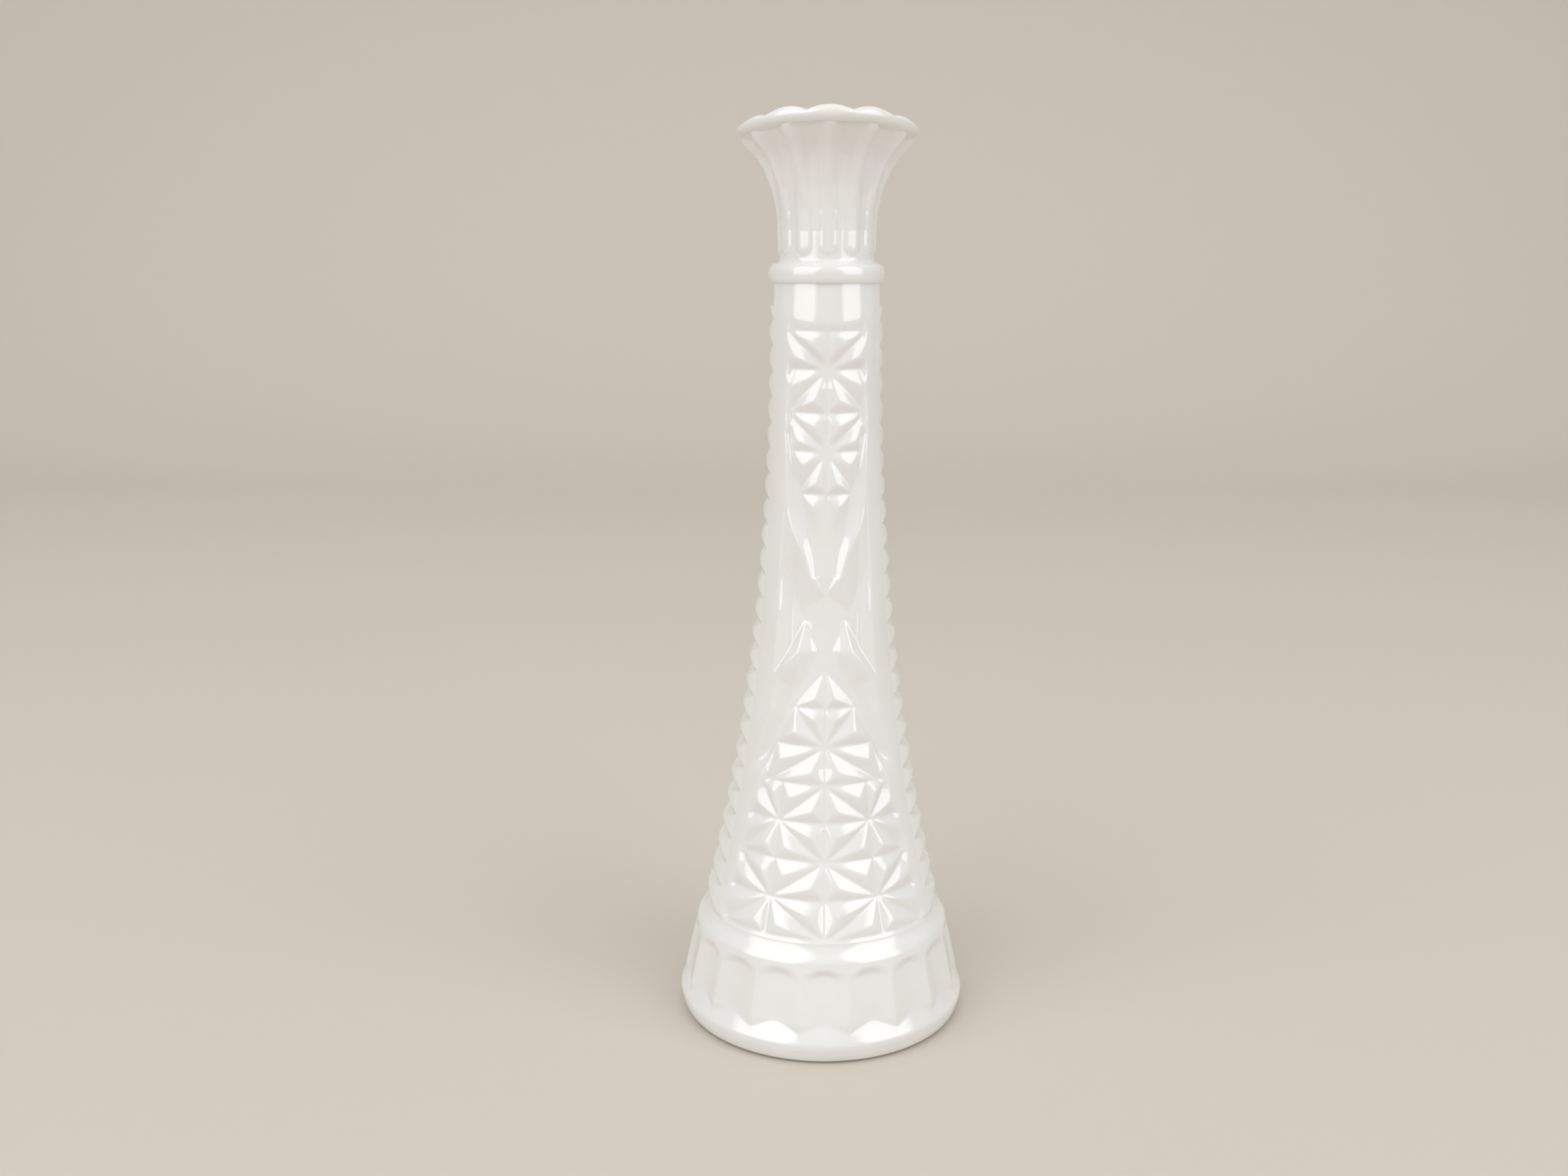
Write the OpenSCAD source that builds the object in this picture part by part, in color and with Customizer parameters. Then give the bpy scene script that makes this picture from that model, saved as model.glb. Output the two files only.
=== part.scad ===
// Pressed milk glass bud vase on a flared foot.
//
// The vase is one piece of glass. Each node is one zone of it, and the zones meet face to face
// along the creases that run round the glass. Nothing moves.
// The origin is the middle of the resting face, +Z is up, and the star faces look along -Y and +Y.

/* [Whole vase] */
// Height from the resting face to the lobes of the mouth
vase_h = 232; // [225:1:240]
// Thickness of the glass wall of the body and neck
wall_t = 4.4; // [3.5:0.1:5.5]

/* [Foot] */
// Widest diameter, round the bead that the vase stands on
foot_d = 76; // [74:0.5:80]
// Height of the bead
bead_h = 8.4; // [7:0.1:9]
// Diameter of the fluted skirt where it leaves the bead
skirt_low_d = 73.4; // [72:0.2:74]
// Diameter of the fluted skirt under the shoulder band
skirt_top_d = 67; // [66:0.5:69]
// Height at which the skirt ends
skirt_top_z = 24.5; // [22:0.5:26]
// Number of flutes round the skirt
skirt_flutes = 18; // [12:1:24]
// Depth of each flute
flute_depth = 1; // [0.6:0.1:1.4]
// Height of the dome under the foot
dome_h = 6; // [4:0.5:8]
// Diameter of the dome under the foot
dome_d = 60; // [50:1:64]
// Height of the cavity's floor
floor_z = 14; // [12:0.5:18]

/* [Body] */
// Height at which the body leaves the shoulder band
body_z = 29.5; // [28:0.5:31]
// Diameter at the foot of the body, over the ribs
body_low_d = 62.8; // [60:0.2:64]
// Diameter at the top of the body, over the ribs
body_top_d = 28.2; // [27:0.2:30]
// Height above which the body is a plain column
flare_top_z = 185; // [175:1:188]
// How late the body flares: 1 is a straight cone
flare_power = 2.12; // [1.8:0.02:2.6]
// Depth of the pressed pattern
relief = 1.2; // [0.8:0.1:1.5]

/* [Side ribs] */
// Number of ribs up each side
rib_count = 25; // [20:1:28]
// Distance from one rib to the next
rib_pitch = 6.35; // [6:0.05:6.4]

/* [Star pattern] */
// Height of one row of stars
row_h = 9.55; // [9:0.05:9.6]
// Angle between the upright grooves of the lower panel
column_angle = 30; // [28:1:32]
// Half the angle across the upper panel
upper_half_angle = 44; // [40:1:46]

/* [Neck ring] */
// Height at which the ring leaves the body
ring_z = 191.5; // [190:0.5:193]
// Height of the ring
ring_h = 4.7; // [4:0.1:6]
// Outer diameter of the ring
ring_d = 28.8; // [28:0.2:31]

/* [Neck and mouth] */
// Outer diameter of the narrowest part of the neck
throat_d = 24.2; // [23:0.2:26]
// Height at which the neck becomes the mouth
mouth_z = 224; // [222:0.5:225]
// Outer diameter over the lobes of the mouth
mouth_d = 44.4; // [42:0.2:48]
// Number of reeds on the neck and of lobes round the mouth
reed_count = 12; // [12:12:12]

/* [Hidden] */
milk = [0.93, 0.93, 0.91];
eps = 0.01;
round_fn = 96;
bead_fn = 48;
cavity_foot_r = 24;
neck_z = ring_z + ring_h;
bore_d = throat_d - 2 * wall_t + 1;
// Height of the lip, from where the flare turns under it to the top of the lobes
lip_h = 4.6;
// Heights of the star panels: the foot of the arch and the top of the shield
arch_z = body_z + 0.4;
shield_z = ring_z - 11;

// Outside of the body over the ribs, at height z
function body_r(z) =
    body_top_d / 2
    + (body_low_d - body_top_d) / 2
        * pow(max(0, flare_top_z - z) / (flare_top_z - body_z), flare_power);

// Evenly spaced heights from low to high
function steps(low, high, count) = [for (i = [0 : count]) low + (high - low) * i / count];

// A point on the body at a given angle from the front, height and depth under the ribs
function on_body(angle, z, depth) =
    let (r = body_r(z) - depth) [r * sin(angle), -r * cos(angle), z];

// Centre of a triangle's inscribed circle
function incentre(p) =
    let (
        a = norm(p[1] - p[2]),
        b = norm(p[2] - p[0]),
        c = norm(p[0] - p[1])
    ) (a * p[0] + b * p[1] + c * p[2]) / (a + b + c);

// Outline of the body's cavity, from its floor to the ring; the wide part has a thicker wall
module cavity_outline() {
    wide_r = 20;
    extra_t = 1;
    corner_w = 8;
    corner_h = 8;
    zs = steps(body_z, ring_z + eps, 16);
    polygon(concat(
        [
            [0, floor_z],
            [cavity_foot_r - corner_w, floor_z],
            [cavity_foot_r - corner_w / 4, floor_z + corner_h * 3 / 8],
            [cavity_foot_r, floor_z + corner_h]
        ],
        [for (z = zs) [body_r(z) - relief - wall_t - (body_r(z) > wide_r ? extra_t : 0), z]],
        [[0, ring_z + eps]]
    ));
}

// Everything that the vase holds: the cavity, the straight bore and the flared mouth
module hollow() {
    rotate_extrude($fn = round_fn) cavity_outline();
    translate([0, 0, ring_z - 1]) cylinder(d = bore_d, h = mouth_z - ring_z, $fn = round_fn);
    rotate_extrude($fn = round_fn) mouth_outline();
}

// Inside of the neck where it opens into the mouth
module mouth_outline() {
    low = neck_z + 10;
    top_r = mouth_d / 2 - 3.6;
    flare = 2.6;
    over = 1;
    polygon(concat(
        [[0, low]],
        [for (t = steps(0, 1, 10))
            [bore_d / 2 + (top_r - bore_d / 2) * pow(t, flare), low + (vase_h - low) * t]],
        [[top_r + 0.6 * over, vase_h + over], [0, vase_h + over]]
    ));
}

// Foot: rounded bead, skirt with upright flutes, dome underneath
module foot() {
    color(milk)
    difference() {
        rotate_extrude($fn = round_fn) foot_outline();
        for (i = [0 : skirt_flutes - 1]) rotate(i * 360 / skirt_flutes) skirt_flute();
        foot_dome();
        hollow();
    }
}

module foot_outline() {
    bead_r = foot_d / 2;
    bead_round = 5.4;
    union() {
        intersection() {
            translate([bead_r - bead_round, bead_round]) circle(bead_round, $fn = 64);
            square([bead_r, bead_h]);
        }
        square([bead_r - bead_round, bead_h]);
        polygon([
            [0, bead_h],
            [skirt_low_d / 2, bead_h],
            [skirt_top_d / 2, skirt_top_z],
            [0, skirt_top_z]
        ]);
    }
}

// One flute: a round scoop that leans with the skirt and stops just short of both its ends
module skirt_flute() {
    scoop_r = 16;
    end_gap = 1.2;
    skirt_h = skirt_top_z - bead_h;
    lean = atan((skirt_low_d - skirt_top_d) / 2 / skirt_h);
    length = skirt_h - 2 * end_gap;
    mid_r = (skirt_low_d + skirt_top_d) / 4;
    translate([0, flute_depth - mid_r, bead_h + skirt_h / 2]) rotate([-lean, 0, 0])
        translate([0, -scoop_r, -length / 2]) cylinder(r = scoop_r, h = length, $fn = 64);
}

// Shallow dome that leaves a ring for the vase to stand on
module foot_dome() {
    sphere_r = (pow(dome_d / 2, 2) + pow(dome_h, 2)) / (2 * dome_h);
    translate([0, 0, dome_h - sphere_r]) sphere(sphere_r, $fn = round_fn);
}

// Shoulder band: smooth rounded step between the skirt and the body
module shoulder_band() {
    step = 0.3;
    low_r = skirt_top_d / 2 + step;
    top_r = body_low_d / 2 - step;
    color(milk)
    difference() {
        rotate_extrude($fn = round_fn) polygon([
            [0, skirt_top_z],
            [low_r - 2 * step, skirt_top_z],
            [low_r, skirt_top_z + 0.8],
            [low_r - step, skirt_top_z + 2.2],
            [top_r + 0.5, body_z - 0.9],
            [top_r, body_z],
            [0, body_z]
        ]);
        hollow();
    }
}

// Body: tapered column with a rib up each side and star panels front and back
module body() {
    color(milk)
    difference() {
        union() {
            difference() {
                rotate_extrude($fn = round_fn) body_outline(0);
                side_grooves();
                for (turn = [0, 180]) rotate(turn) panel_recesses();
            }
            for (turn = [0, 180]) rotate(turn) star_points();
        }
        hollow();
    }
}

module body_outline(depth) {
    zs = steps(body_z, ring_z, 20);
    polygon(concat([[0, body_z]], [for (z = zs) [body_r(z) - depth, z]], [[0, ring_z]]));
}

// The straight cuts between the ribs, which run out towards the front and back
module side_grooves() {
    cut_w = 60;
    reach = 3;
    half_h = 0.75 * rib_pitch;
    lowest_z = body_z + 2;
    first_z = ring_z - rib_pitch / 2 + 0.85;
    for (side = [-1, 1], i = [0 : rib_count]) {
        z = first_z - i * rib_pitch;
        depth = relief + 0.02 * body_r(z);
        if (z > lowest_z)
            translate([side * (body_r(z) - depth), cut_w / 2, z]) rotate([90, 0, 0])
                linear_extrude(cut_w)
                    polygon([[0, 0], [side * reach, half_h], [side * reach, -half_h]]);
    }
}

// An outline from its right half, which runs from the foot up; a point on the middle isn't repeated
function both_sides(half) =
    concat(half, [for (i = [len(half) - 1 : -1 : 0]) if (half[i][0] > 0) [-half[i][0], half[i][1]]]);

// The two panels sunk into the front: a pointed arch low down and a shield above it
module panel_recesses() {
    // Half of each outline, from the foot up: half width, and height in rows
    arch = [[26.4, 0], [22.3, 2], [17, 4], [13, 5], [8, 6], [0, 7]];
    shield = [[0, -6.3], [6, -5.4], [9.8, -4], [9.4, 0]];
    arch_side = [for (c = arch) [c[0], arch_z + c[1] * row_h]];
    shield_side = [for (c = shield) [c[0], shield_z + c[1] * row_h]];
    for (side = [arch_side, shield_side])
        intersection() {
            rotate([90, 0, 0]) linear_extrude(body_low_d) polygon(both_sides(side));
            difference() {
                translate([0, 0, body_z])
                    cylinder(d = body_low_d + 4, h = ring_z - body_z, $fn = round_fn);
                rotate_extrude($fn = round_fn) body_outline(relief);
            }
        }
}

// The raised points between the grooves of the star pattern
module star_points() {
    arch_tip = 0.84 * column_angle;
    shield_half = 0.8 * upper_half_angle;
    for (side = [-1, 1]) {
        for (row = [1, 3]) star_cell(side * column_angle, side * column_angle, arch_z + row * row_h);
        star_cell(0, side * arch_tip, arch_z + 5 * row_h);
        for (row = [1, 3]) star_cell(0, side * shield_half, shield_z - row * row_h);
    }
}

// Four raised points round one star centre; half is the angle from its centre to its side
module star_cell(centre, half, z) {
    for (up = [-1, 1]) {
        corner = [half, row_h * up];
        star_point([[centre, z], [centre + corner[0], z], [centre + corner[0], z + corner[1]]]);
        star_point([[centre, z], [centre, z + corner[1]], [centre + corner[0], z + corner[1]]]);
        if (centre != 0) {
            star_point([[centre, z], [0, z], [0, z + corner[1]]]);
            star_point([[centre, z], [centre, z + corner[1]], [0, z + corner[1]]]);
        }
    }
}

// One raised point over a triangle given by angles and heights
module star_point(corners) {
    gap = 0.12;
    peak_depth = 0.1;
    base_depth = relief + 0.4;
    root_depth = relief + 2;
    middle = incentre([for (c = corners) [c[0] * body_r(c[1]) * PI / 180, c[1]]]);
    middle_angle = middle[0] / body_r(middle[1]) * 180 / PI;
    drawn_in = [for (c = corners)
        [c[0] + (middle_angle - c[0]) * gap, c[1] + (middle[1] - c[1]) * gap]];
    base = [for (c = drawn_in) on_body(c[0], c[1], base_depth)];
    peak = on_body(middle_angle, middle[1], peak_depth);
    root = on_body(middle_angle, middle[1], root_depth);
    way = cross(base[1] - base[0], base[2] - base[0]) * (peak - root);
    order = way > 0 ? [0, 1, 2] : [0, 2, 1];
    polyhedron(
        [base[order[0]], base[order[1]], base[order[2]], peak, root],
        [[1, 0, 3], [2, 1, 3], [0, 2, 3], [0, 1, 4], [1, 2, 4], [2, 0, 4]]
    );
}

// Neck ring: one round bead
module neck_ring() {
    bead_r = 0.55 * ring_h;
    core_r = ring_d / 2 - 1.6;
    color(milk)
    difference() {
        rotate_extrude($fn = round_fn) union() {
            translate([0, ring_z]) square([core_r, ring_h]);
            intersection() {
                translate([ring_d / 2 - bead_r, ring_z + ring_h / 2]) circle(bead_r, $fn = bead_fn);
                translate([0, ring_z]) square([ring_d, ring_h]);
            }
        }
        hollow();
    }
}

// Neck: plain throat that flares into the mouth, with upright reeds
module neck() {
    color(milk)
    difference() {
        rotate_extrude($fn = round_fn) neck_outline();
        for (i = [0 : reed_count - 1]) rotate((i + 0.5) * 360 / reed_count) reed_valley();
        hollow();
    }
}

// Outside of the neck at height z: plain for neck_plain_h, then flared by neck_spread
neck_plain_h = 8;
neck_spread = 6.9;
function neck_r(z) =
    throat_d / 2
    + neck_spread * pow(max(0, z - neck_z - neck_plain_h) / (mouth_z - neck_z - neck_plain_h), 2.4);

module neck_outline() {
    zs = steps(neck_z, mouth_z, 12);
    polygon(concat([[0, neck_z]], [for (z = zs) [neck_r(z), z]], [[0, mouth_z]]));
}

// The valley between two reeds, which deepens as the neck flares
module reed_valley() {
    arc_r = 26;
    tube_r = 1.5;
    depth = 0.5;
    collar_h = 6;
    translate([0, depth - throat_d / 2 - arc_r - tube_r, neck_z + collar_h])
        rotate([90, 0, 90]) rotate_extrude(angle = 75, $fn = round_fn)
            translate([arc_r, 0]) circle(tube_r, $fn = bead_fn / 2);
}

// Mouth: the flared lip, drawn out into rounded lobes
module mouth() {
    color(milk)
    difference() {
        intersection() {
            rotate_extrude($fn = round_fn) lip_outline();
            translate([0, 0, mouth_z - eps]) lobes(vase_h - mouth_z + 2 * eps);
        }
        hollow();
    }
}

module lip_outline() {
    lip_r = mouth_d / 2;
    round_r = lip_h / 2;
    under_r = lip_r - 1.2;
    under_z = vase_h - lip_h + 0.7;
    flat_z = vase_h - 0.6;
    union() {
        polygon([
            [0, mouth_z],
            [neck_r(mouth_z), mouth_z],
            [under_r, under_z],
            [lip_r - round_r, flat_z],
            [0, flat_z]
        ]);
        translate([lip_r - round_r, vase_h - round_r]) circle(round_r, $fn = bead_fn);
    }
}

// Plan of the lobes: overlapping discs that reach just past the rim
module lobes(height) {
    lobe_r = 5.7;
    lobe_centre = mouth_d / 2 - 5.5;
    plate_r = lobe_centre + 1.5;
    linear_extrude(height) union() {
        circle(plate_r, $fn = round_fn);
        for (i = [0 : reed_count - 1]) rotate(i * 360 / reed_count)
            translate([0, -lobe_centre]) circle(lobe_r, $fn = bead_fn);
    }
}

foot();
shoulder_band();
body();
neck_ring();
neck();
mouth();
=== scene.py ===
"""Pressed milk glass bud vase: the glass that shows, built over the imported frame."""

import math

import bpy
import numpy as np
from mathutils import Matrix, Vector


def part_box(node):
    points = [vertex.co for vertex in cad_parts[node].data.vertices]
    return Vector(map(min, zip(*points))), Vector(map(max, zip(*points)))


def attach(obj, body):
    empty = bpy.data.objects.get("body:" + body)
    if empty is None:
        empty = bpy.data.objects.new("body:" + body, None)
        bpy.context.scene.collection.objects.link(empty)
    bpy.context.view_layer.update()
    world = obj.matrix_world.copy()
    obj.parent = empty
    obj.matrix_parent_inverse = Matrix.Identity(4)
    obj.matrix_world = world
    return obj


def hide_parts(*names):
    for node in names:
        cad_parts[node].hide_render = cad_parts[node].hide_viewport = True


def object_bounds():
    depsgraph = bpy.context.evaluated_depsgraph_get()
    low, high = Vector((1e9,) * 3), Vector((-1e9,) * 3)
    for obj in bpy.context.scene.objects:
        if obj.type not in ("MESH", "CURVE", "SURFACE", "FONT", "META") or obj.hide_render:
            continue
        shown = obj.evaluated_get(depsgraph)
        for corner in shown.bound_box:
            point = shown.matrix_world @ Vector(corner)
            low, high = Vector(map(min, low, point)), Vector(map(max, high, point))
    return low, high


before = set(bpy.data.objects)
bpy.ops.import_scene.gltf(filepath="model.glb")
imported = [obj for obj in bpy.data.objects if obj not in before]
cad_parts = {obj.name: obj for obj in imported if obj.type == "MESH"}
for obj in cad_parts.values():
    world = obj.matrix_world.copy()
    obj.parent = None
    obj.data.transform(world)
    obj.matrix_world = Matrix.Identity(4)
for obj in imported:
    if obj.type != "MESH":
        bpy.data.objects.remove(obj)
cad_low, cad_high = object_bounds()

# Lengths are in millimetres and angles in degrees until a mesh is made.
# An angle is measured round the axis from the front, which looks along -Y.
# A level is how far the surface stands above the outline over the ribs, so it is mostly negative.
MM = 0.001
# Columns of every mesh round the axis, and the angle from which an edge is shaded as sharp
COLUMNS = 600
SHARP_ANGLE = 62


def zone_heights(node):
    """Height of a node's lower and upper end, from the frame."""
    low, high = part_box(node)
    return low.z / MM, high.z / MM


FOOT_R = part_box("foot")[1].x / MM
BODY_Z, RING_Z = zone_heights("body")
BAND_Z = zone_heights("shoulder_band")[0]
NECK_Z = zone_heights("neck")[0]
TOP_Z = cad_high.z / MM
MOUTH_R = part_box("mouth")[1].x / MM
RING_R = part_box("neck_ring")[1].x / MM

# Body: its outline over the ribs, and the thickness from there to the cavity inside
BODY_LOW_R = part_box("body")[1].x / MM
BODY_TOP_R = 14.1
FLARE_TOP_Z = 185.0
FLARE_POWER = 2.12
WALL = 6.0
BODY_STEP = 0.4
CAVITY_STEP = 2.5
# At the shoulder band the body stands this far inside that outline; its pattern grows over this height
HEEL_LEVEL = 0.8
HEEL_H = 1.1
# Under the ring the body leans in by this much, over this height
HEAD_LEAN = 0.75
HEAD_H = 9
HEAD_POWER = 1.2

# Ribs up the two sides. By height: depth of the cuts, fullness of the ribs, and how far their ends
# round off
RIB_PITCH = 6.355
RIB_TOP_Z = 186.0
RIB_HALF_ANGLE = 23.5
RIB_START = 0.5
RIB_ROUND = 0.6
RIB_DEPTH = ((BODY_Z, 3.7), (60, 3.5), (130, 1.15))
RIB_FULLNESS = ((60, 0.15), (130, 0.6))
RIB_NOSE = ((BODY_Z, 0.2), (BODY_Z + 9, 0.9), (60, 1.3), (130, 0.5), (150, 0))

# Lower panel of stars: height of its foot, of one row, and the angle between its upright grooves
ROW_Z = 29.9
ROW_H = 9.55
COLUMN = 30.0

# Upper panel of stars: its rows from low to high, half its width, half the width of its lowest row,
# where its full width ends, the foot of its outline and of its middle groove, and its depth by height
SHIELD_ROWS = (140.7, 151.2, 160.6, 171.1, 180.4)
SHIELD_HALF = 44.0
SHIELD_LOW_HALF = 31
SHIELD_SHOULDER_Z = 157
SHIELD_TIP_Z = 121.5
SHIELD_FOOT_Z = 121
SHIELD_DEPTH = ((121, 1.75), (127, 2.1), (140, 1.9), (151, 1.3), (171, 1.2), (180.4, 0.55))
# The panel's top edge: its height over the top row, how much it rises to the sides, and where its
# slope begins as a share of that height
BROW_H = 2.2
BROW_RISE = 4
BROW_POWER = 4
BROW_START = -0.4
# The raised points grow to their full height over these heights, and this far from a star's centre
FADE_LOW_Z, FADE_HIGH_Z = 129, 140
STAR_INNER, STAR_OUTER = 0.5, 4.5
# Width of the panel's sloping side, which fades over this height where the blades begin
SIDE_WIDTH = 1.4
SIDE_FADE_H = 9
SIDE_FADE = 0.4

# How far the edges of the pattern are rounded, and in how many passes
SOFT_EDGE = 0.21
SOFT_PASSES = 7

# Slope of the sides of every raised point at its foot, how fast it eases towards the top, and how wide
# its sides are at the most
POINT_SLOPE = 0.48
POINT_ROUND = 0.04
POINT_REACH = 3.5
# How far the bottom of a groove and the crease over the foot's bead are rounded
CREASE_ROUND = 0.14

# Foot: flutes, which are deeper towards the bead
FLUTES = 18
FLUTE_DEPTH = 0.9
FLUTE_EXTRA = 0.3
FLUTE_EXTRA_Z = (8, 16)
FLUTE_POWER = 1.2
# How far under the band the flutes begin and cease to fade out, and how much sooner at their edges
FLUTE_END_LOW = 2.9
FLUTE_END_HIGH = 0.2
FLUTE_ARCH = 1.4
# Skirt over the ridges between its flutes: radius at one height and lean; low down it tucks in a
# little, and its lower end turns in steeply
SKIRT_R = 36.0
SKIRT_Z = 13
SKIRT_LEAN = 0.2275
SKIRT_TUCK = 0.35
SKIRT_TUCK_Z = (7.5, 10.5)
SKIRT_END_Z = 6.8
SKIRT_END_SLOPE = 3
# Dome and cavity. The foot is a ring like the other pieces, so a hole is left on its axis that the
# CAD model doesn't have: the dome ends short of the axis at this turn in radians, and the floor at
# this radius
DOME_R = 30.0
DOME_H = 6.0
DOME_END = 1.45
DOME_ROWS = 14
FLOOR_Z = 14.0
FLOOR_HOLE_R = 2
FLOOR_ROUND = 8
CAVITY_R = 24.0
# Bead that the vase stands on: (radius, height) of its underside, and its radius by height
UNDERSIDE = ((DOME_R + 2.5, 0), (FOOT_R - 3.2, 0.02), (FOOT_R - 2.2, 0.35))
BEAD = ((0.6, 36.6), (1.2, 37.1), (2.5, 37.6), (4, 37.93), (5.2, 38), (5.8, 37.83), (6.5, 37.45),
        (7.5, 36.9), (9.5, 35.75), (12, 34.3), (15, 30))
# Rows of the foot's mesh: their step, and a finer step in this last stretch under the band
FOOT_STEP = 0.3
FOOT_FINE_STEP = 0.1
FOOT_FINE_H = 1.3

# Shoulder band: its turn begins this far over its foot and would end this far over its top, at a
# radius of no more than this
BAND_TURN_LOW = 0.5
BAND_TURN_HIGH = 0.25
BAND_TOP_R = 31
BAND_STEP = 0.2

# Neck ring: turns of its bead from under it to its top, how full the bead is, and its radius on top
RING_TURNS = (-86, 88)
RING_ROWS = 37
RING_POWER = 0.8
RING_TOP_R = 12.6

# Neck and mouth: roughly the outline over the reeds, by height, before the rim dips at the sides
REEDS = 12
BORE_R = 8.2
LIP_FOOT_Z = 228.3
FLARE = ((NECK_Z, 12.0), (204, 12.15), (209, 12.5), (214.6, 13.5), (217.9, 14.55), (221.2, 15.7),
         (223.4, 17.0), (225.6, 18.9), (227.2, 20.3), (LIP_FOOT_Z, 20.9))
NECK_STEP = 0.35
# The fillet where the neck leaves the ring
FILLET_W = 0.85
FILLET_H = 1.2
# Tongues that the reeds end in: how far they stand out, height of their centre and half their width
TONGUE_H = 0.45
TONGUE_Z = 200.4
TONGUE_HALF = 2.35
TONGUE_POWER = 4
# Over these heights the tongues turn into waves, which stand further out and have deeper valleys
WAVE_LOW_Z, WAVE_HIGH_Z = 203, 226
WAVE_GROWTH = 1.9
VALLEY_DEPTH = 1.7
# How much the rim dips at the sides, and the heights over which the dip grows
SADDLE = 2.9
SADDLE_POWER = 3
SADDLE_LOW_Z, SADDLE_HIGH_Z = 204, 228
# Lip: half its thickness, height of its middle, turns of its round edge, and how much thinner it is
# at the sides
LIP_HALF = 1.9
LIP_Z = 230.1
LIP_TURNS = (-75, 140)
LIP_ROWS = 30
LIP_THINNING = 0.3
THINNING_POWER = 4
# Notches between the lobes: how far they reach in and down, how fast they begin over the edge, and
# how late they die out towards the sides
NOTCH_IN = 0.5
NOTCH_DOWN = 1.1
NOTCH_POWER = 1.5
NOTCH_FADE_POWER = 6
# Inside: height of the straight bore, how far inside and under the lip its flare aims, how late it
# flares, and the stretch of the way that its rows take up
PLAIN_H = 10
LIP_WIDTH = 4.2
LIP_DROP = 0.8
THROAT_POWER = 2.6
THROAT_STRETCH = (0.1, 0.94)
THROAT_ROWS = 12


def smoothstep(value, low, high):
    """0 below low, 1 above high, and an even curve between."""
    t = np.clip((value - low) / (high - low), 0, 1)
    return t * t * (3 - 2 * t)


def along(value, pairs):
    """Straight-line value between (position, value) pairs."""
    places, values = zip(*pairs)
    return np.interp(value, places, values)


def soft_min(parts, width):
    """The smallest of several arrays, with the corners between them rounded."""
    stack = np.stack(parts)
    least = stack.min(0)
    return least - width * np.log(np.exp(-(stack - least) / width).sum(0))


def body_r(z):
    """Outside of the body over the ribs."""
    rise = np.clip((FLARE_TOP_Z - z) / (FLARE_TOP_Z - BODY_Z), 0, 1)
    return BODY_TOP_R + (BODY_LOW_R - BODY_TOP_R) * rise**FLARE_POWER


def to_segment(p, z, start, end):
    """Distance over the glass from each point to a line between two (angle, height) points."""
    unit = np.radians(1) * body_r(z)
    ax, az = (start[0] - p) * unit, start[1] - z
    bx, bz = (end[0] - p) * unit, end[1] - z
    dx, dz = bx - ax, bz - az
    t = np.clip(-(ax * dx + az * dz) / np.maximum(dx * dx + dz * dz, 1e-9), 0, 1)
    return np.hypot(ax + t * dx, az + t * dz)


def to_line(p, z, points):
    """Distance to a line through several (angle, height) points."""
    return np.min([to_segment(p, z, a, b) for a, b in zip(points[:-1], points[1:])], 0)


def inside(p, z, outline):
    """Where points lie inside a closed outline of (angle, height) points."""
    within = np.zeros(p.shape, bool)
    for (p1, z1), (p2, z2) in zip(outline, outline[1:] + outline[:1]):
        if z1 != z2:
            crosses = ((z1 > z) != (z2 > z)) & (p < (p2 - p1) * (z - z1) / (z2 - z1) + p1)
            within ^= crosses
    return within


def raised_points(p, z, grooves):
    """Height of the points that stand between straight grooves."""
    near = soft_min([to_segment(p, z, a, b) for a, b in grooves], CREASE_ROUND)
    near = np.clip(near, 0, POINT_REACH)
    return POINT_SLOPE * near - POINT_ROUND * near**2


def row(count):
    """Height of a row of the lower panel, counted from 0 at its foot."""
    return ROW_Z + ROW_H * count


# Half of the lower panel's outline, from its foot to its point
ARCH = [(60.5, row(0)), (60, row(1)), (57.5, row(2)), (55.5, row(3)), (48, row(4)), (38.5, row(5)),
        (24.5, row(6)), (0, row(7))]
# Half of the upper panel's outline below its shoulder, the crest of the blade beside it, and the point
# where the two end
TIP = (7.6, 120.1)
BLADE_INNER = [(43.4, 157), (38, 149.6), (27, 140.7), (20.5, 133), (15.5, 127), (7.6, 120.8)]
BLADE_CREST = [(43.4, 157), (42.4, 153), (41.2, 145), (39.4, 137), (33.5, 132.3), (21.5, 126.4),
               (13.7, 120.1), TIP]
# Level of the crest by angle, and width and depth by height of the steep bevel inside it
CREST_LEVEL = ((7.6, -1.5), (13.7, -0.75), (21.5, -0.45), (33.5, -0.15), (39.4, 0))
BEVEL_WIDTH = ((121, 2.2), (127, 1.1), (134, 0.85), (157, 0.9))
BEVEL_DEPTH = ((121, 1.3), (127, 0.7), (134, 0.42), (157, 0.5))
# The hollow round the arch: its outer edge, from the middle down, and the edge's level by angle
COVE_EDGE = [(0, 101.8), (22.8, 101.8), (44, 94.7), (45.5, 86), (54, 76), (62, 69.7)]
COVE_LEVEL = ((0, -2.1), (6, -2.1), (13.5, -0.9), (22.8, -0.2), (40, 0))
# It is as deep as the panel at this share of the way in, and begins over this much of the lift below
COVE_REACH = 0.8
COVE_START = 1.6
# Lower panel: its depth by height, the width of its sloping side, and how fast that slope lifts away
# with height where the hollow takes over
ARCH_DEPTH = ((row(4), 1.15), (row(4) + 4, 1.6), (row(7), 1.9))
ARCH_SIDE = 2.8
ARCH_LIFT = 0.22
# Angle at which the grooves from the top star end on the row below it
CAP_HALF = 40


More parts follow.
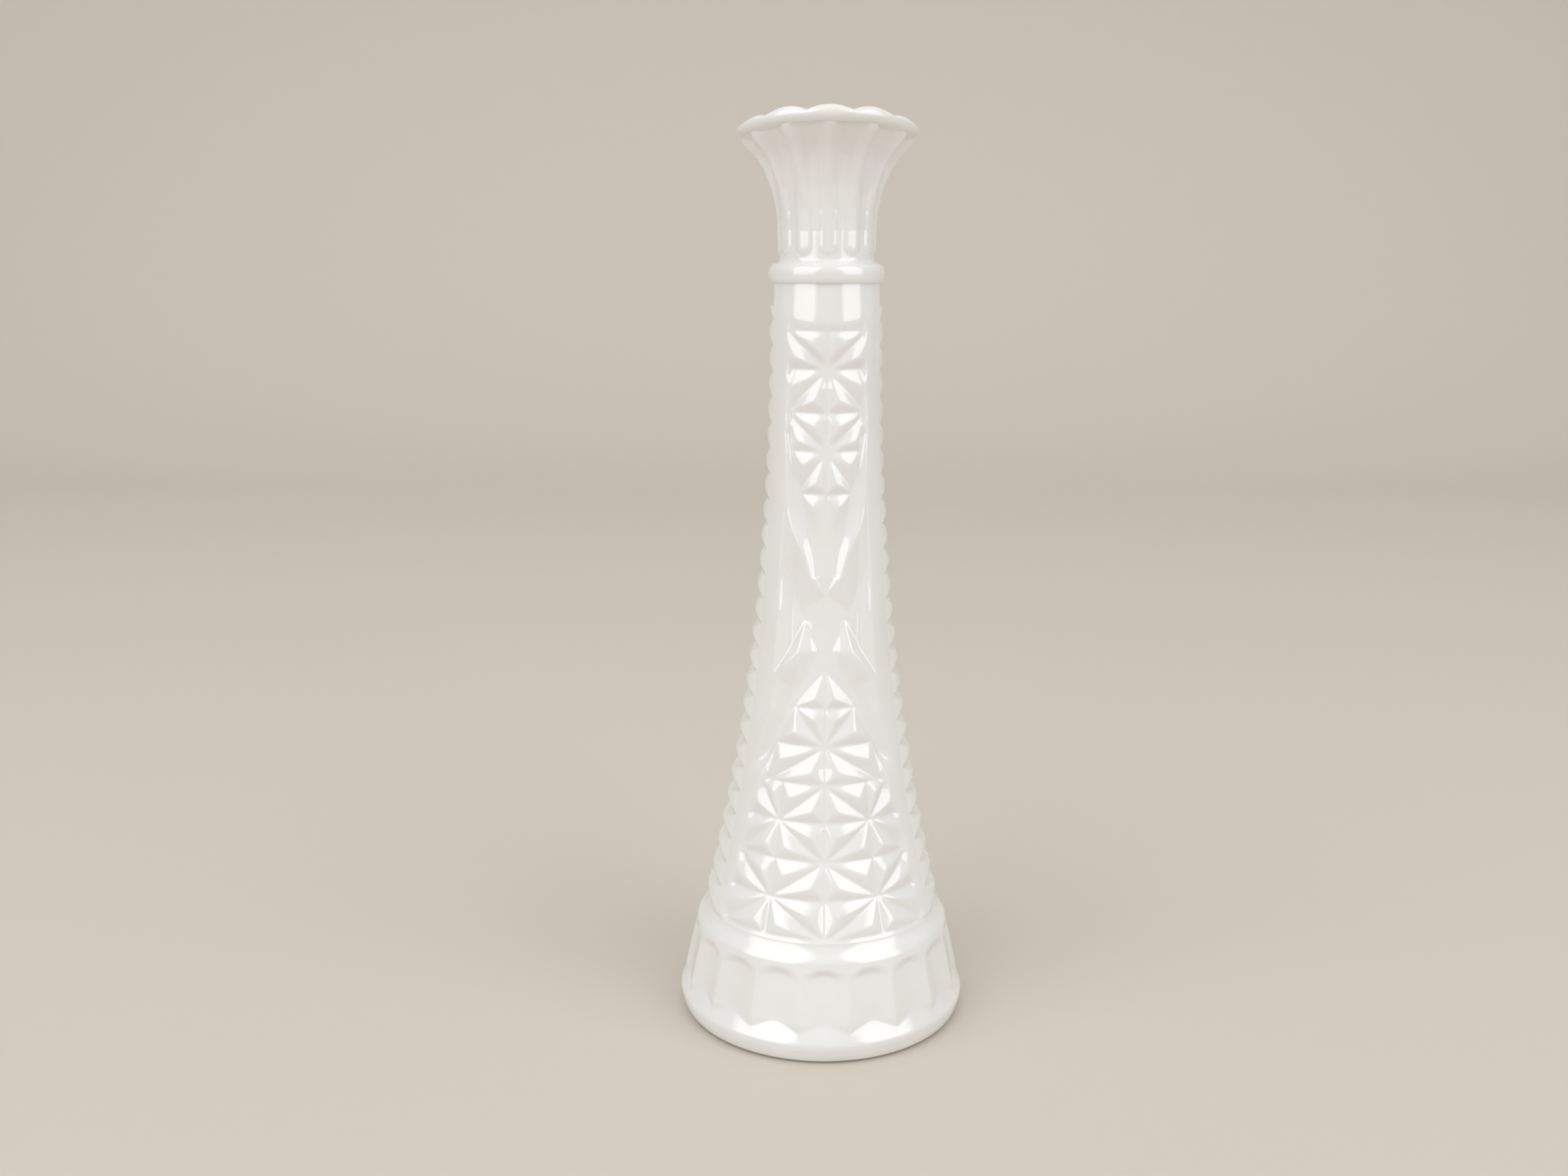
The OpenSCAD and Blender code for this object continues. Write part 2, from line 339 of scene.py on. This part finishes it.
def arch_grooves():
    """The lower panel's grooves: three star centres on each side, joined by rows and uprights."""
    edge = {z: p for p, z in ARCH}
    grooves = [((0, row(0)), (0, row(7)))]
    grooves += [((0, row(n)), (edge[row(n)], row(n))) for n in range(7)]
    grooves += [((COLUMN, row(0)), (COLUMN, row(4)))]
    for n in (1, 3):
        for end in (n - 1, n + 1):
            grooves.append(((COLUMN, row(n)), (0, row(end))))
            grooves.append(((COLUMN, row(n)), (edge[row(end)], row(end))))
    grooves += [((0, row(5)), (CAP_HALF, row(4))), ((0, row(5)), (edge[row(6)], row(6)))]
    grooves += list(zip(ARCH[4:-1], ARCH[5:]))
    return grooves


def shield_grooves():
    """The upper panel's grooves: two star centres on the middle line."""
    low, star_low, middle, star_high, top = SHIELD_ROWS
    side, low_side = SHIELD_HALF, SHIELD_LOW_HALF
    grooves = [((0, SHIELD_FOOT_Z), (0, top))]
    grooves += [((0, z), (side, z)) for z in (star_low, middle, star_high, top)]
    grooves += [((0, low), (low_side, low)), ((0, star_low), (low_side, low))]
    grooves += [((0, star_low), (side, middle))]
    grooves += [((0, star_high), (side, z)) for z in (middle, top)]
    grooves += list(zip(BLADE_INNER[:-1], BLADE_INNER[1:]))
    return grooves


# Points of the crossing between the two panels: (angle, height, level)
CROSS = {
    "crown": (0, SHIELD_TIP_Z, -1.75), "under": (0, 115.5, -1.98), "middle": (0, 108.5, -2.02),
    "sill": (0, 101.8, -2.1),
    "tip": (*TIP, -1.5), "blade_top": (41.4, 146, 0), "blade_high": (39.4, 137, 0),
    "blade_mid": (33.5, 132.3, -0.15), "blade_low": (21.5, 126.4, -0.45), "blade_end": (13.7, 120.1, -0.75),
    "valley_top": (43.6, 123, -0.55), "valley": (33, 116.4, -1.95), "valley_low": (33, 111.5, -1.95),
    "waist": (23.5, 111.2, -2.0), "rim": (42, 110.8, -0.1),
    "margin_top": (45.4, 123, 0), "margin": (44, 110.8, 0), "margin_low": (44.5, 95.3, 0),
    "gully": (31, 102.5, -1.7),
    "ridge_top": (19.2, 109.1, -2.08), "ridge": (22.8, 101.8, -0.2), "ridge_low": (44, 94.7, 0),
    "brow": (14, 106.5, -1.9), "brow_low": (13.5, 101.8, -0.9), "brow_in": (6, 101.8, -2.1),
}
CROSS_FACES = [
    "blade_top blade_high valley_top", "blade_high blade_mid valley_top", "blade_mid valley valley_top",
    "blade_mid blade_low valley", "blade_low waist valley", "blade_low blade_end waist",
    "blade_end under waist", "tip blade_end under", "crown tip under", "under waist middle",
    "waist ridge_top middle", "ridge_top brow middle", "brow brow_in middle", "brow_in sill middle",
    "blade_top valley_top margin_top", "valley_top margin_top margin", "valley_top margin rim",
    "valley_top rim valley", "valley rim valley_low", "valley valley_low waist", "rim valley_low gully",
    "valley_low waist gully", "margin rim gully", "margin gully margin_low",
    "waist ridge_top gully", "ridge_top ridge gully", "ridge ridge_low gully",
    "ridge_low margin_low gully", "ridge_top ridge brow_low", "ridge_top brow_low brow",
    "brow brow_low brow_in",
]
# A point this little outside a face still counts as on it, so that no gap shows between faces
ON_FACE = -1e-6


def crossing(p, z):
    """Level of the flat faces between the two panels."""
    level = np.zeros(p.shape)
    for names in CROSS_FACES:
        (p1, z1, d1), (p2, z2, d2), (p3, z3, d3) = (CROSS[name] for name in names.split())
        area = (p2 - p1) * (z3 - z1) - (p3 - p1) * (z2 - z1)
        b = ((p - p1) * (z3 - z1) - (p3 - p1) * (z - z1)) / area
        c = ((p2 - p1) * (z - z1) - (p - p1) * (z2 - z1)) / area
        a = 1 - b - c
        on_face = np.minimum(np.minimum(a, b), c) > ON_FACE
        level = np.where(on_face, a * d1 + b * d2 + c * d3, level)
    return level


def side_ribs(off_side, z):
    """Level of the cuts between the ribs, and how far the glass rounds off towards their ends."""
    depth = along(z, RIB_DEPTH)
    cut = depth * (1 - (off_side / RIB_HALF_ANGLE) ** 2)
    phase = np.abs((RIB_TOP_Z - z + RIB_PITCH / 2) % RIB_PITCH - RIB_PITCH / 2)
    from_top = (np.hypot(phase, RIB_ROUND) - RIB_ROUND) / (math.hypot(RIB_PITCH / 2, RIB_ROUND) - RIB_ROUND)
    across = 1 - from_top
    fullness = along(z, RIB_FULLNESS)
    crown = np.where(z < RIB_TOP_Z, depth * across * (1 + fullness - fullness * across), 0)
    here = (z > BODY_Z + RIB_START) & (off_side < RIB_HALF_ANGLE)
    round_off = along(z, RIB_NOSE) * np.minimum(1, off_side / RIB_HALF_ANGLE) ** 2
    return np.where(here, -np.maximum(0, cut - crown), 0), round_off


def lower_panel(p, z, relief):
    """Put the lower panel of stars and the hollow round its arch into the relief."""
    depth = along(z, ARCH_DEPTH)
    in_arch = inside(p, z, [(0, row(0) - 1)] + ARCH)
    panel = np.minimum(0, raised_points(p, z, arch_grooves()) - depth)
    lift = ARCH_LIFT * np.maximum(0, z - row(4))
    side = smoothstep(to_line(p, z, ARCH) + lift, 0, ARCH_SIDE)
    relief = np.where(in_arch, panel * side, relief)

    in_cove = inside(p, z, COVE_EDGE + ARCH[4:]) & ~in_arch
    outer, inner = to_line(p, z, COVE_EDGE), to_line(p, z, ARCH[4:])
    across = outer / np.maximum(outer + inner, 1e-6)
    bowl = smoothstep(across, 0, COVE_REACH) * smoothstep(lift, 0, COVE_START)
    return np.where(in_cove, along(p, COVE_LEVEL) * (1 - bowl) - depth * bowl, relief)


def upper_panel(p, z, relief):
    """Put the upper panel of stars and the blades beside it into the relief."""
    top_z = SHIELD_ROWS[4]
    depth = along(z, SHIELD_DEPTH)
    brow = top_z + BROW_H + BROW_RISE * (p / SHIELD_HALF) ** BROW_POWER
    above = (p < SHIELD_HALF) & (z >= top_z) & (z < brow)
    shield = [(0, top_z), (SHIELD_HALF, top_z)] + BLADE_INNER + [TIP, (0, SHIELD_TIP_Z)]
    in_shield = above | inside(p, z, shield)
    points = raised_points(p, z, shield_grooves()) * smoothstep(z, FADE_LOW_Z, FADE_HIGH_Z)
    for star in (SHIELD_ROWS[1], SHIELD_ROWS[3]):
        points = points * smoothstep(to_segment(p, z, (0, star), (0, star)), STAR_INNER, STAR_OUTER)
    panel = np.minimum(0, points - depth)
    ramp = (z - top_z) / (brow - top_z)
    panel = np.where(above, -depth * (1 - smoothstep(ramp, BROW_START, 1)), panel)
    below = np.clip(SHIELD_SHOULDER_Z - z, 0, SIDE_FADE_H)
    to_side = (SHIELD_HALF - p) * np.radians(1) * body_r(z) + below * SIDE_FADE
    panel = panel * smoothstep(to_side, 0, SIDE_WIDTH)
    relief = np.where(in_shield, panel, relief)

    in_blade = inside(p, z, BLADE_CREST + BLADE_INNER[::-1]) & ~in_shield
    outer, inner = to_line(p, z, BLADE_CREST[:-1]), to_line(p, z, BLADE_INNER)
    crest, bevel, drop = along(p, CREST_LEVEL), along(z, BEVEL_WIDTH), along(z, BEVEL_DEPTH)
    steep = np.clip(outer / bevel, 0, 1)
    rest = np.clip((outer - bevel) / np.maximum(outer + inner - bevel, 0.1), 0, 1)
    level = crest - drop * steep - (depth + crest - drop) * rest
    relief = np.where(in_blade, np.maximum(level, -depth), relief)
    return relief, in_blade | in_shield


def body_relief(angle, z):
    """Level of the body's pattern, for a whole grid of angles and heights."""
    p = np.abs((angle + 90) % 180 - 90)
    relief, round_off = side_ribs(90 - p, z)
    relief = lower_panel(p, z, relief)
    relief, covered = upper_panel(p, z, relief)
    cross = crossing(p, z)
    relief = np.where(~covered & (cross < 0), cross, relief)
    relief = relief - round_off
    pattern = smoothstep(z, BODY_Z, BODY_Z + HEEL_H)
    relief = relief * pattern - HEEL_LEVEL * (1 - pattern)
    lean = HEAD_LEAN * np.clip((z - RING_Z + HEAD_H) / HEAD_H, 0, 1) ** HEAD_POWER
    return np.minimum(relief, -lean)


# The angle of each column, and how much it points to the sides: 0 in front and behind, 1 at the sides
ANGLES = np.linspace(0, 360, COLUMNS, endpoint=False)
SIDEWAYS = np.abs(np.sin(np.radians(ANGLES)))


def ring_mesh(name, rows_out, rows_in):
    """A closed ring of glass from outside rows and inside rows of (radius, height), low to high."""
    rows = list(rows_out) + list(rows_in)[::-1]
    angle = np.radians(ANGLES)
    r = np.array([np.broadcast_to(a, COLUMNS) for a, _ in rows])
    z = np.array([np.broadcast_to(b, COLUMNS) for _, b in rows])
    points = np.stack([r * np.sin(angle), -r * np.cos(angle), z], -1).reshape(-1, 3) * MM
    count = len(rows)
    i = np.arange(count)[:, None]
    j = np.arange(COLUMNS)[None, :]
    up, on = (i + 1) % count, (j + 1) % COLUMNS
    quads = np.stack([i * COLUMNS + j, i * COLUMNS + on, up * COLUMNS + on, up * COLUMNS + j], -1)
    quads = quads.reshape(-1, 4)
    mesh = bpy.data.meshes.new(name)
    mesh.vertices.add(len(points))
    mesh.vertices.foreach_set("co", points.ravel())
    mesh.loops.add(quads.size)
    mesh.loops.foreach_set("vertex_index", quads.ravel())
    mesh.polygons.add(len(quads))
    mesh.polygons.foreach_set("loop_start", np.arange(0, quads.size, 4))
    mesh.polygons.foreach_set("use_smooth", np.ones(len(quads), bool))
    mesh.update(calc_edges=True)
    mesh.validate()
    mesh.set_sharp_from_angle(angle=math.radians(SHARP_ANGLE))
    piece = bpy.data.objects.new(name, mesh)
    bpy.context.scene.collection.objects.link(piece)
    return piece


def spread(low, high, step):
    """Evenly spaced heights about one step apart, both ends included."""
    return np.linspace(low, high, max(2, round((high - low) / step) + 1))


def cavity_r(z):
    """Inside of the body."""
    return np.maximum(BORE_R, body_r(z) - WALL)


def soften(relief, heights, step):
    """Round every edge of the pattern over about SOFT_EDGE, as the mould leaves it."""
    across = (SOFT_EDGE / (np.radians(360 / COLUMNS) * body_r(heights))) ** 2 / (2 * SOFT_PASSES)
    upward = (SOFT_EDGE / step) ** 2 / (2 * SOFT_PASSES)
    for _ in range(SOFT_PASSES):
        turn = np.roll(relief, 1, 1) + np.roll(relief, -1, 1) - 2 * relief
        padded = np.pad(relief, ((1, 1), (0, 0)), "edge")
        lift = padded[2:] + padded[:-2] - 2 * relief
        relief = relief + across[:, None] * turn + upward * lift
    return relief


def body_rows():
    """Outside of the body: the radius and the height at each row and angle."""
    heights = spread(BODY_Z, RING_Z, BODY_STEP)
    z = np.repeat(heights[:, None], COLUMNS, 1)
    angle = np.repeat(ANGLES[None, :], len(heights), 0)
    relief = soften(body_relief(angle, z), heights, heights[1] - heights[0])
    return body_r(z) + relief, z


BODY_R, BODY_GRID = body_rows()
BODY_FOOT = BODY_R[0]
BODY_HEAD = BODY_R[-1]


def make_body():
    """Tapered column with its pattern outside and a plain cavity inside."""
    inside_rows = [(cavity_r(h), h) for h in spread(BODY_Z, RING_Z, CAVITY_STEP)]
    return ring_mesh("body_glass", list(zip(BODY_R, BODY_GRID)), inside_rows)


def make_ring():
    """One round bead, with a hollow under it where it meets the body."""
    middle, half = (RING_Z + NECK_Z) / 2, (NECK_Z - RING_Z) / 2
    outside = [(BODY_HEAD, RING_Z)]
    for turn in np.radians(np.linspace(*RING_TURNS, RING_ROWS)):
        root = BODY_HEAD if turn < 0 else RING_TOP_R
        bulge = math.cos(turn) ** RING_POWER
        outside.append((root + (RING_R - root) * bulge, middle + half * math.sin(turn)))
    outside.append((RING_TOP_R, NECK_Z))
    inside_rows = [(cavity_r(RING_Z), RING_Z), (BORE_R, NECK_Z)]
    return ring_mesh("neck_ring_glass", outside, inside_rows)


def skirt_r(z):
    """Foot over the ridges between its flutes, with the rounded lower end of the skirt."""
    tuck = SKIRT_TUCK * (1 - smoothstep(z, *SKIRT_TUCK_Z))
    return SKIRT_R - SKIRT_LEAN * (z - SKIRT_Z) - tuck - SKIRT_END_SLOPE * np.maximum(0, SKIRT_END_Z - z)


def make_foot():
    """Rounded bead whose cone rises into each flute as an arch, and flutes that stop under the band."""
    flute = np.abs(np.cos(np.radians(ANGLES * FLUTES / 2))) ** FLUTE_POWER
    outside = list(UNDERSIDE)
    fine_z = BAND_Z - FOOT_FINE_H
    rows = spread(BEAD[0][0], fine_z - 2 * FOOT_FINE_STEP, FOOT_STEP)
    for z in np.append(rows, spread(fine_z, BAND_Z, FOOT_FINE_STEP)):
        bead = np.full(COLUMNS, min(along(z, BEAD), FOOT_R))
        end = smoothstep(z + FLUTE_ARCH * (1 - flute), BAND_Z - FLUTE_END_LOW, BAND_Z - FLUTE_END_HIGH)
        deep = FLUTE_DEPTH + FLUTE_EXTRA * (1 - smoothstep(z, *FLUTE_EXTRA_Z))
        skirt = skirt_r(z) - deep * (1 - end) * flute
        outside.append((np.minimum(-soft_min([-bead, -skirt], CREASE_ROUND), FOOT_R), z))
    outside[-1] = (skirt_r(BAND_Z), BAND_Z)
    turns = np.linspace(0, DOME_END, DOME_ROWS)
    dome = [(DOME_R * math.cos(t), DOME_H * math.sin(t)) for t in turns]
    floor = [(FLOOR_HOLE_R, FLOOR_Z), (CAVITY_R - FLOOR_ROUND, FLOOR_Z),
             (CAVITY_R - FLOOR_ROUND / 4, FLOOR_Z + FLOOR_ROUND * 3 / 8),
             (CAVITY_R, FLOOR_Z + FLOOR_ROUND), (CAVITY_R, BAND_Z)]
    return ring_mesh("foot_glass", outside, dome + floor)


def make_band():
    """Smooth rounded shelf that carries on from the skirt and turns in to the body."""
    outside = []
    for z in spread(BAND_Z, BODY_Z, BAND_STEP):
        fall = smoothstep(z, BAND_Z + BAND_TURN_LOW, BODY_Z + BAND_TURN_HIGH)
        outside.append((skirt_r(z) * (1 - fall) + np.minimum(BODY_FOOT, BAND_TOP_R) * fall, z))
    outside[-1] = (BODY_FOOT, BODY_Z)
    inside_rows = [(CAVITY_R, BAND_Z), (cavity_r(BODY_Z), BODY_Z)]
    return ring_mesh("shoulder_band_glass", outside, inside_rows)


def neck_rows(x, dip):
    """Outside of the neck: reeds that end as rounded tongues low down and flare into the mouth."""
    rows = []
    for z in spread(NECK_Z, LIP_FOOT_Z, NECK_STEP):
        r = along(z, FLARE)
        side = np.abs(x) * np.radians(1) * r
        below = np.maximum(0, TONGUE_Z - z)
        across = np.hypot(side, below) / TONGUE_HALF
        tongue = TONGUE_H * np.clip(1 - across**TONGUE_POWER, 0, 1)
        wave = 0.5 + 0.5 * np.cos(np.radians(x * REEDS))
        grow = smoothstep(z, WAVE_LOW_Z, WAVE_HIGH_Z)
        reed = tongue * (1 - grow) + grow * (TONGUE_H + WAVE_GROWTH * grow) * wave**2
        valley = TONGUE_H + VALLEY_DEPTH * grow * grow
        fillet = FILLET_W * max(0, 1 - (z - NECK_Z) / FILLET_H) ** 2
        rows.append((r - valley + reed + fillet, z + dip * smoothstep(z, SADDLE_LOW_Z, SADDLE_HIGH_Z)))
    return rows


def lip_rows(x, dip):
    """Round edge of the lip, from under it to its inside, with a notch between two lobes."""
    lobe = 1 - (np.abs(x) * REEDS / 180) ** 2
    notch = (1 - lobe) * (1 - SIDEWAYS**NOTCH_FADE_POWER)
    thin = 1 - LIP_THINNING * SIDEWAYS**THINNING_POWER
    rows = []
    for turn in np.radians(np.linspace(*LIP_TURNS, LIP_ROWS)):
        lift = math.sin(turn)
        upper = max(0, lift) ** NOTCH_POWER
        rim_r = MOUTH_R - NOTCH_IN * notch * upper
        rise = LIP_Z + LIP_HALF * lift * thin - NOTCH_DOWN * notch * upper
        rows.append((rim_r - LIP_HALF + LIP_HALF * math.cos(turn), rise + dip))
    return rows


def throat_rows(dip):
    """Inside of the neck and mouth: a straight bore that flares to the lip."""
    plain_z, lip_r = NECK_Z + PLAIN_H, MOUTH_R - LIP_WIDTH
    rows = [(BORE_R, NECK_Z), (BORE_R, plain_z)]
    for t in np.linspace(*THROAT_STRETCH, THROAT_ROWS):
        rise = plain_z + (TOP_Z - LIP_DROP - plain_z) * t + dip * t
        rows.append((BORE_R + (lip_r - BORE_R) * t**THROAT_POWER, rise))
    return rows


def make_neck():
    """Neck and mouth in one mesh, because no crease parts them; the rim dips at the sides."""
    x = (ANGLES + 180 / REEDS) % (360 / REEDS) - 180 / REEDS
    dip = -SADDLE * SIDEWAYS**SADDLE_POWER
    return ring_mesh("neck_and_mouth_glass", neck_rows(x, dip) + lip_rows(x, dip), throat_rows(dip))


# Glass: the two shades of its faint clouds, the colour of its specks, its gloss, and (scale, detail)
# of each noise with the part of its range that counts
CLOUD_LIGHT = (0.875, 0.872, 0.855, 1)
CLOUD_DARK = (0.85, 0.842, 0.815, 1)
SPECK_DARK = (0.16, 0.15, 0.14, 1)
GLASS_IOR = 1.5
GLASS_SPECULAR = 0.85
CLOUD_NOISE = (55, 3)
CLOUD_CUT = (0.35, 0.65)
SPECK_SCALE = 140
# Where a speck's edge fades, in cells, and the share of cells that stay without a speck
SPECK_EDGE = (0.018, 0.03)
SPECK_SHARE = (0.93, 0.94)
ROUGH_NOISE = (160, 4)
ROUGH_CUT = (0.3, 0.7)
ROUGH_RANGE = (0.05, 0.1)
# Waviness of the pressed skin and its fine grain: (scale, detail, height in millimetres)
SKIN = ((180, 2, 0.018), (1300, 3, 0.0035))


def milk_glass():
    """White glass: faint clouding, a slightly uneven pressed surface and a few dark specks."""
    material = bpy.data.materials.new("milk_glass")
    material.use_nodes = True
    nodes, links = material.node_tree.nodes, material.node_tree.links
    shader = nodes["Principled BSDF"]
    shader.inputs["IOR"].default_value = GLASS_IOR
    shader.inputs["Specular IOR Level"].default_value = GLASS_SPECULAR
    place = nodes.new("ShaderNodeTexCoord").outputs["Object"]

    def noise(scale, detail):
        node = nodes.new("ShaderNodeTexNoise")
        node.inputs["Scale"].default_value = scale
        node.inputs["Detail"].default_value = detail
        links.new(place, node.inputs["Vector"])
        return node.outputs["Fac"]

    def spread_over(value, low, high, to_low, to_high):
        node = nodes.new("ShaderNodeMapRange")
        node.inputs["From Min"].default_value = low
        node.inputs["From Max"].default_value = high
        node.inputs["To Min"].default_value = to_low
        node.inputs["To Max"].default_value = to_high
        links.new(value, node.inputs["Value"])
        return node.outputs["Result"]

    def mixed(factor, first, second):
        node = nodes.new("ShaderNodeMix")
        node.data_type = "RGBA"
        links.new(factor, node.inputs["Factor"])
        for socket, value in ((node.inputs["A"], first), (node.inputs["B"], second)):
            if isinstance(value, tuple):
                socket.default_value = value
            else:
                links.new(value, socket)
        return node.outputs["Result"]

    cloud = spread_over(noise(*CLOUD_NOISE), *CLOUD_CUT, 0, 1)
    body = mixed(cloud, CLOUD_LIGHT, CLOUD_DARK)
    cells = nodes.new("ShaderNodeTexVoronoi")
    cells.inputs["Scale"].default_value = SPECK_SCALE
    links.new(place, cells.inputs["Vector"])
    near = spread_over(cells.outputs["Distance"], *SPECK_EDGE, 1, 0)
    pick = nodes.new("ShaderNodeSeparateColor")
    links.new(cells.outputs["Color"], pick.inputs["Color"])
    chosen = spread_over(pick.outputs["Red"], *SPECK_SHARE, 0, 1)
    speck = nodes.new("ShaderNodeMath")
    speck.operation = "MULTIPLY"
    links.new(near, speck.inputs[0])
    links.new(chosen, speck.inputs[1])
    links.new(mixed(speck.outputs["Value"], body, SPECK_DARK), shader.inputs["Base Color"])

    rough = spread_over(noise(*ROUGH_NOISE), *ROUGH_CUT, *ROUGH_RANGE)
    links.new(rough, shader.inputs["Roughness"])
    last = None
    for scale, detail, height in SKIN:
        bump = nodes.new("ShaderNodeBump")
        bump.inputs["Strength"].default_value = 1
        bump.inputs["Distance"].default_value = height * MM
        links.new(noise(scale, detail), bump.inputs["Height"])
        if last:
            links.new(last, bump.inputs["Normal"])
        last = bump.outputs["Normal"]
    links.new(last, shader.inputs["Normal"])
    return material


GLASS = milk_glass()

for make, nodes in (
    (make_foot, ["foot"]),
    (make_band, ["shoulder_band"]),
    (make_body, ["body"]),
    (make_ring, ["neck_ring"]),
    (make_neck, ["neck", "mouth"]),
):
    piece = make()
    piece.data.materials.append(GLASS)
    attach(piece, "root")
    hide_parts(*nodes)


# Stage, in metres: a flat floor that turns up behind the vase
SWEEP_HALF = 3.0
SWEEP_BACK = 0.9
SWEEP_TURN = 0.5
SWEEP_ROWS = 25
FLOOR_COLOR = (0.64, 0.585, 0.515, 1)
FLOOR_ROUGHNESS = 0.9

# Radiance of the room, of each window, of the pane before it that only shines, and of the light overhead
SKY = 0.39
SKY_COLOR = (0.95, 0.97, 1.0, 1)
WINDOW = 1.25
WINDOW_SHINE = 1.15
OVERHEAD = 0.85
# Windows: (side, azimuth, half the width) in degrees from the vase, half their height and their
# elevation in degrees, and how far off they are. A pane is a little nearer and narrower
WINDOWS = (("left", -47.5, 26.5), ("right", 52.5, 22.5))
WINDOW_HALF_HEIGHT = 30.5
WINDOW_ELEVATION = 29.5
WINDOW_AWAY = 2.0
PANE_AWAY = 1.9
PANE_WIDTH = 0.85
OVERHEAD_HALF = 35
OVERHEAD_AWAY = 1.6
OVERHEAD_ELEVATION = 88

# Camera: its place and the nearest and furthest it sees in metres, lens in millimetres
EYE = (-0.0103, -0.38387, 0.20028)
EYE_DOWN = 12.643
EYE_ROLL = 0.15
LENS = 35.0
SENSOR = 36.0
NEAREST = 0.01
FURTHEST = 50


def make_floor():
    """Pale sweep: flat floor that turns up behind the vase."""
    line = [(-SWEEP_HALF, 0)]
    for turn in np.radians(np.linspace(0, 90, SWEEP_ROWS)):
        line.append((SWEEP_BACK + SWEEP_TURN * math.sin(turn), SWEEP_TURN * (1 - math.cos(turn))))
    line.append((SWEEP_BACK + SWEEP_TURN, SWEEP_HALF))
    points = [(side, y, z) for y, z in line for side in (-SWEEP_HALF, SWEEP_HALF)]
    faces = [(2 * i, 2 * i + 1, 2 * i + 3, 2 * i + 2) for i in range(len(line) - 1)]
    mesh = bpy.data.meshes.new("floor")
    mesh.from_pydata(points, [], faces)
    mesh.shade_smooth()
    floor = bpy.data.objects.new("floor", mesh)
    bpy.context.scene.collection.objects.link(floor)
    material = bpy.data.materials.new("floor")
    material.use_nodes = True
    shader = material.node_tree.nodes["Principled BSDF"]
    shader.inputs["Base Color"].default_value = FLOOR_COLOR
    shader.inputs["Roughness"].default_value = FLOOR_ROUGHNESS
    mesh.materials.append(material)


def softbox(name, radiance, half_width, half_height, distance, azimuth, elevation):
    """An area light turned to the vase; azimuth 0 is behind the camera, and its size is in degrees."""
    a, e = math.radians(azimuth), math.radians(elevation)
    back = Vector((math.sin(a) * math.cos(e), -math.cos(a) * math.cos(e), math.sin(e)))
    light = bpy.data.lights.new(name, "AREA")
    light.shape = "RECTANGLE"
    light.size = 2 * distance * math.tan(math.radians(half_width))
    light.size_y = 2 * distance * math.tan(math.radians(half_height))
    light.energy = radiance * math.pi * light.size * light.size_y
    lamp = bpy.data.objects.new(name, light)
    lamp.location = Vector((0, 0, (cad_low.z + cad_high.z) / 2)) + back * distance
    lamp.rotation_mode = "QUATERNION"
    lamp.rotation_quaternion = (-back).to_track_quat("-Z", "Y")
    lamp.visible_camera = False
    bpy.context.scene.collection.objects.link(lamp)
    return lamp


def make_light():
    """Pale room, a tall window on each side of the camera, and a wide soft light overhead."""
    world = bpy.data.worlds.new("studio")
    world.use_nodes = True
    sky = world.node_tree.nodes["Background"]
    sky.inputs["Color"].default_value = SKY_COLOR
    sky.inputs["Strength"].default_value = SKY
    bpy.context.scene.world = world
    for side, azimuth, half_width in WINDOWS:
        softbox("window_" + side, WINDOW, half_width, WINDOW_HALF_HEIGHT, WINDOW_AWAY, azimuth,
                WINDOW_ELEVATION)
        pane = softbox("pane_" + side, WINDOW_SHINE, half_width * PANE_WIDTH, WINDOW_HALF_HEIGHT,
                       PANE_AWAY, azimuth, WINDOW_ELEVATION)
        pane.visible_diffuse = False
    overhead = softbox("overhead", OVERHEAD, OVERHEAD_HALF, OVERHEAD_HALF, OVERHEAD_AWAY, 0,
                       OVERHEAD_ELEVATION)
    overhead.visible_glossy = False


def make_camera():
    """The photo's camera: level with the vase's neck and looking a little down."""
    camera = bpy.data.cameras.new("camera")
    camera.lens = LENS
    camera.sensor_width = SENSOR
    camera.clip_start = NEAREST
    camera.clip_end = FURTHEST
    eye = bpy.data.objects.new("camera", camera)
    eye.location = EYE
    tilt, roll = math.radians(90 - EYE_DOWN), math.radians(EYE_ROLL)
    eye.rotation_euler = (Matrix.Rotation(tilt, 3, "X") @ Matrix.Rotation(roll, 3, "Z")).to_euler()
    bpy.context.scene.collection.objects.link(eye)
    bpy.context.scene.camera = eye


make_floor()
make_light()
make_camera()
bpy.context.scene.view_settings.view_transform = "Standard"
